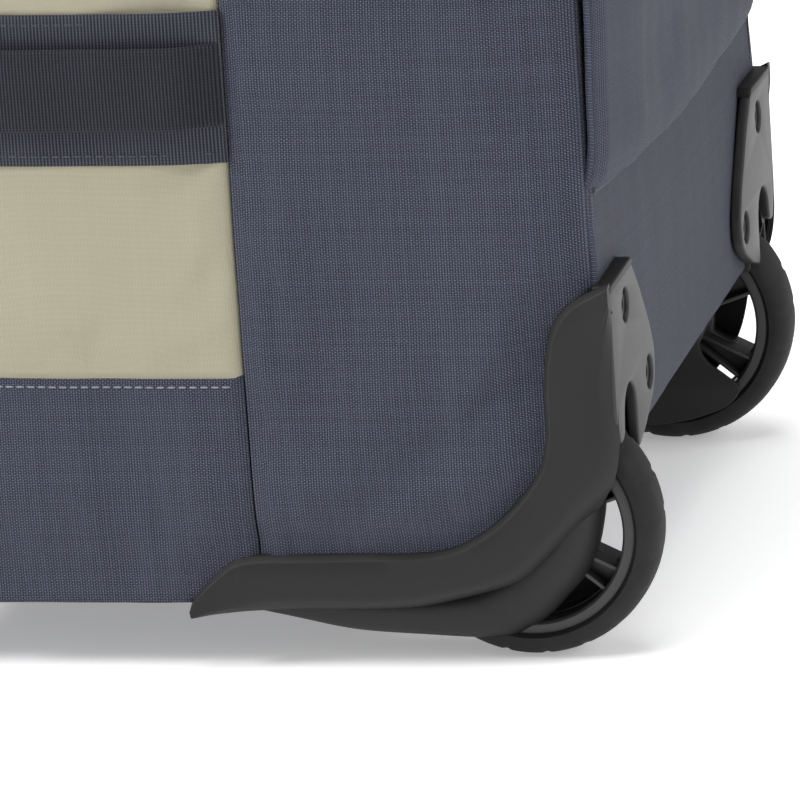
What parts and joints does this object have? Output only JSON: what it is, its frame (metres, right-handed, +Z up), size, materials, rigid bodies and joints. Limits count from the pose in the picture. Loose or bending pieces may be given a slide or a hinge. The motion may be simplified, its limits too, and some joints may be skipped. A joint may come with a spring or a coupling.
{
  "type": "softside upright suitcase",
  "caption": "Softside upright suitcase with inline rear wheels in moulded corner housings, telescopic handle, zip lid, front pockets and webbing grab straps.",
  "frame": {"origin": "on the floor, under the middle of the suitcase's overall box", "axes": "+Z up, +Y to the back where the wheels and the telescopic handle are, +X to the suitcase's side on which the main zip opens"},
  "size_m": [0.3324, 0.32, 0.6682],
  "materials": {
    "navy_fabric": "matte heavy plain weave polyester",
    "khaki_fabric": "matte fine weave polyester",
    "webbing_wide": "ribbed webbing",
    "webbing_dark": "ribbed webbing",
    "zip_tape": "coil zip on woven tape",
    "lining_fabric": "thin lining over foam",
    "black_plastic": "fine grained moulding",
    "grip_plastic": "soft touch moulding",
    "button_plastic": "smooth moulding",
    "board_plastic": "sheet plastic",
    "tyre_rubber": "matte rubber",
    "rim_plastic": "moulded nylon",
    "steel": "ground steel",
    "black_screws": "blackened steel",
    "tube_aluminium": "anodised",
    "frame_steel": "coated spring wire",
    "slider_metal": "dark plated zinc"
  },
  "bodies": {
    "case": {"axles": "steel", "wheel_housing_right": "black_plastic", "wheel_housing_left": "black_plastic", "housing_screws": "black_screws", "side_rear_panel_right": "navy_fabric", "side_rear_panel_left": "navy_fabric", "side_main_panel_right": "khaki_fabric", "side_main_panel_left": "khaki_fabric", "side_corner_panels_right": "navy_fabric", "side_corner_panels_left": "navy_fabric", "top_panel": "navy_fabric", "bottom_panel": "navy_fabric", "heel_panel": "navy_fabric", "kick_panel": "navy_fabric", "back_panel": "navy_fabric", "base_board": "board_plastic", "back_board": "board_plastic", "lining_panel": "lining_fabric", "frame_hoop": "frame_steel", "front_feet": "black_plastic", "outer_tubes": "tube_aluminium", "tube_feet": "black_plastic", "handle_bezel": "black_plastic", "zip_tape_case": "zip_tape", "wide_bands": "webbing_wide", "grab_straps": "webbing_dark", "carry_handle_anchors": "black_plastic", "pack_straps": "webbing_dark", "buckle_socket": "black_plastic", "buckle_tongue": "black_plastic"},
    "wheel_right": {"tyre_right": "tyre_rubber", "wheel_rim_right": "rim_plastic", "wheel_bearings_right": "steel"},
    "wheel_left": {"tyre_left": "tyre_rubber", "wheel_rim_left": "rim_plastic", "wheel_bearings_left": "steel"},
    "handle_middle": {"middle_tubes": "tube_aluminium"},
    "handle_grip": {"inner_tubes": "tube_aluminium", "grip": "grip_plastic", "button_spring": "steel"},
    "button": {"push_button": "button_plastic", "release_yoke": "black_plastic"},
    "pins": {"lock_pins": "steel"},
    "lid": {"lid_gusset": "navy_fabric", "lid_panel": "navy_fabric", "lower_pocket": "khaki_fabric", "upper_pocket": "navy_fabric", "zip_tape_lid": "zip_tape", "hinge_strip": "navy_fabric", "pocket_zips": "zip_tape"},
    "main_slider_upper": {"main_slider_upper": "slider_metal"},
    "main_slider_lower": {"main_slider_lower": "slider_metal"},
    "main_tab_upper": {"main_pull_tab_upper": "slider_metal"},
    "main_tab_lower": {"main_pull_tab_lower": "slider_metal"},
    "lower_pocket_slider": {"lower_pocket_slider": "slider_metal"},
    "lower_pocket_tab": {"lower_pocket_pull_tab": "slider_metal"},
    "upper_pocket_slider": {"upper_pocket_slider": "slider_metal"},
    "upper_pocket_tab": {"upper_pocket_pull_tab": "slider_metal"},
    "carry_handle": {"carry_handle": "webbing_dark"}
  },
  "joints": [
    {"name": "wheel_right_spin", "type": "hinge", "parent": "case", "child": "wheel_right", "pos_m": [0.13, 0.115, 0.045], "axis": [1, 0, 0], "continuous": true},
    {"name": "wheel_left_spin", "type": "hinge", "parent": "case", "child": "wheel_left", "pos_m": [-0.13, 0.115, 0.045], "axis": [1, 0, 0], "continuous": true},
    {"name": "handle_middle_slide", "type": "slide", "parent": "case", "child": "handle_middle", "axis": [0, 0, 1], "range_m": [0, 0.21]},
    {"name": "handle_grip_slide", "type": "slide", "parent": "handle_middle", "child": "handle_grip", "axis": [0, 0, 1], "range_m": [0, 0.21]},
    {"name": "button_press", "type": "slide", "parent": "handle_grip", "child": "button", "axis": [0, 0, -1], "range_m": [0, 0.004], "stiffness_N_per_m": 400, "springref_m": -0.003, "deforming": ["button_spring"]},
    {"name": "pins_retract", "type": "slide", "parent": "handle_grip", "child": "pins", "axis": [0, 1, 0], "range_m": [0, 0.0025]},
    {"name": "lid_open", "type": "hinge", "parent": "case", "child": "lid", "pos_m": [-0.155, -0.09, 0.332], "axis": [0, 0, -1], "range_deg": [0, 148]},
    {"name": "main_slider_upper_run", "type": "slide", "parent": "case", "child": "main_slider_upper", "axis": [0, 0, 1], "range_m": [0, 0.261]},
    {"name": "main_slider_lower_run", "type": "slide", "parent": "case", "child": "main_slider_lower", "axis": [0, 0, -1], "range_m": [0, 0.237]},
    {"name": "main_tab_upper_swing", "type": "hinge", "parent": "main_slider_upper", "child": "main_tab_upper", "pos_m": [0.1572, -0.09, 0.357], "axis": [0, -1, 0], "range_deg": [0, 150]},
    {"name": "main_tab_lower_swing", "type": "hinge", "parent": "main_slider_lower", "child": "main_tab_lower", "pos_m": [0.1572, -0.09, 0.307], "axis": [0, -1, 0], "range_deg": [0, 150]},
    {"name": "lower_pocket_slider_run", "type": "slide", "parent": "lid", "child": "lower_pocket_slider", "axis": [-1, 0, 0], "range_m": [0, 0.188]},
    {"name": "lower_pocket_tab_swing", "type": "hinge", "parent": "lower_pocket_slider", "child": "lower_pocket_tab", "pos_m": [0.111, -0.1502, 0.3826], "axis": [0, 1, 0], "range_deg": [0, 150]},
    {"name": "upper_pocket_slider_run", "type": "slide", "parent": "lid", "child": "upper_pocket_slider", "axis": [-1, 0, 0], "range_m": [0, 0.188]},
    {"name": "upper_pocket_tab_swing", "type": "hinge", "parent": "upper_pocket_slider", "child": "upper_pocket_tab", "pos_m": [0.111, -0.1442, 0.5956], "axis": [0, 1, 0], "range_deg": [0, 150]},
    {"name": "carry_handle_lift", "type": "slide", "parent": "case", "child": "carry_handle", "axis": [0, 0, 1], "range_m": [0, 0.009]}
  ],
  "couplings": [
    {"joint": "pins_retract", "follows": "button_press", "ratio": 0.5}
  ]
}
